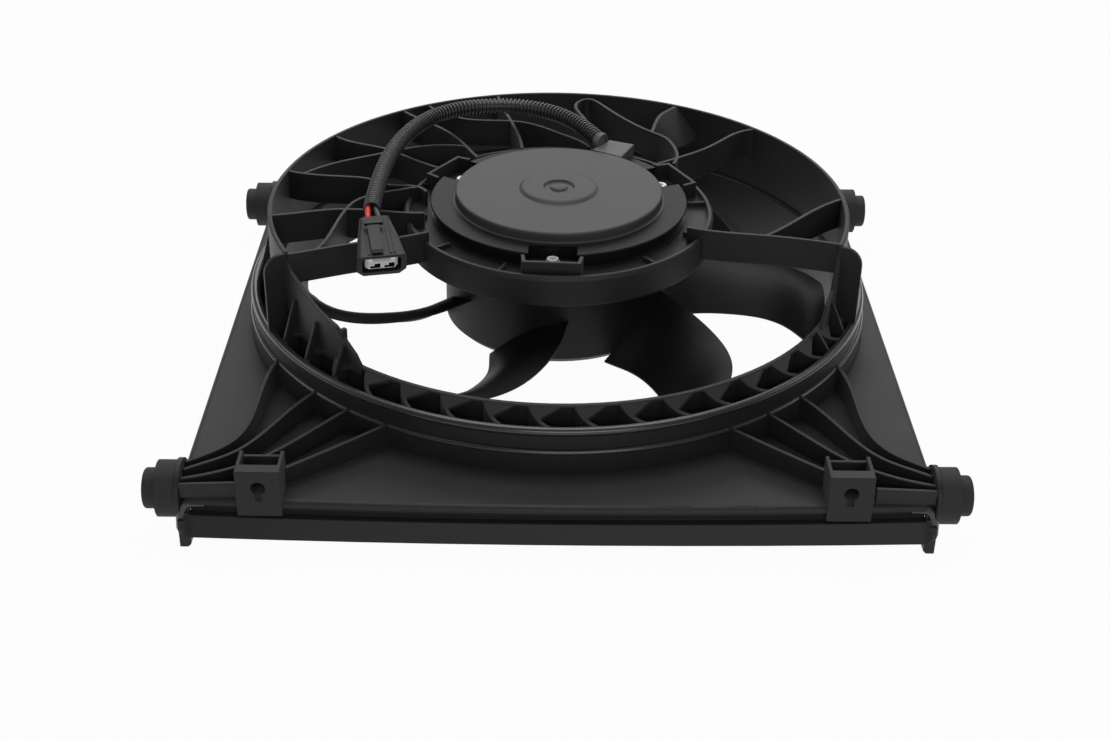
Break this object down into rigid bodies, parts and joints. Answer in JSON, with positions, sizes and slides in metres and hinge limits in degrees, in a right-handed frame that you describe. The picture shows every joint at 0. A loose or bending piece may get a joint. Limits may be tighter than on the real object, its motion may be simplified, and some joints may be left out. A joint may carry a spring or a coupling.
{
  "type": "radiator cooling fan",
  "caption": "Electric radiator cooling fan: flat motor and swept blade wheel in a moulded shroud with a tall barrel, web of curved struts, side mounting bushes and a corrugated cable with plug.",
  "frame": {"origin": "middle of the plan outline, at the height of the tips of the two front hooks", "axes": "+Z along the fan shaft towards the motor side, +X across the side mounting bushes, -Y towards the flared front skirt"},
  "size_m": [0.56, 0.5419, 0.1625],
  "materials": {
    "shroud_plastic": "satin",
    "bush_rubber": "matte",
    "motor_steel": "satin",
    "motor_paint": "satin",
    "zinc_steel": "bright",
    "ferrite": "matte",
    "core_steel": "matte",
    "copper": "bright",
    "card_plastic": "matte",
    "carbon": "matte",
    "bearing_steel": "polished",
    "fan_plastic": "satin",
    "insert_steel": "satin",
    "outlet_plastic": "satin",
    "conduit_plastic": "satin",
    "wire_red": "satin",
    "wire_black": "satin",
    "plug_plastic": "satin",
    "insert_plastic": "satin",
    "terminal_tin": "bright"
  },
  "bodies": {
    "shroud": {"barrel_ring": "shroud_plastic", "barrel_wall": "shroud_plastic", "bearing_lower": "bearing_steel", "bearing_upper": "bearing_steel", "brush_card": "card_plastic", "bush_front_left": "bush_rubber", "bush_front_right": "bush_rubber", "bush_rear_left": "bush_rubber", "bush_rear_right": "bush_rubber", "cable_outlet": "outlet_plastic", "carbon_brushes": "carbon", "conduit": "conduit_plastic", "magnet_segments": "ferrite", "motor_can": "motor_steel", "motor_carrier": "shroud_plastic", "motor_cover": "motor_paint", "motor_screws": "zinc_steel", "plug_body": "plug_plastic", "plug_insert": "insert_plastic", "plug_latch": "plug_plastic", "plug_terminals": "terminal_tin", "shroud_plate": "shroud_plastic", "web_front_left": "shroud_plastic", "web_front_right": "shroud_plastic", "web_left": "shroud_plastic", "web_rear": "shroud_plastic", "web_right": "shroud_plastic", "wire_black": "wire_black", "wire_red": "wire_red"},
    "rotor": {"armature_core": "core_steel", "armature_windings": "copper", "commutator": "copper", "motor_shaft": "bearing_steel", "fan_hub": "fan_plastic", "fan_blades": "fan_plastic", "drive_insert": "insert_steel", "fan_nut": "zinc_steel"}
  },
  "joints": [
    {"name": "fan_spin", "type": "hinge", "parent": "shroud", "child": "rotor", "pos_m": [0, 0.021, 0.076], "axis": [0, 0, 1], "continuous": true}
  ]
}
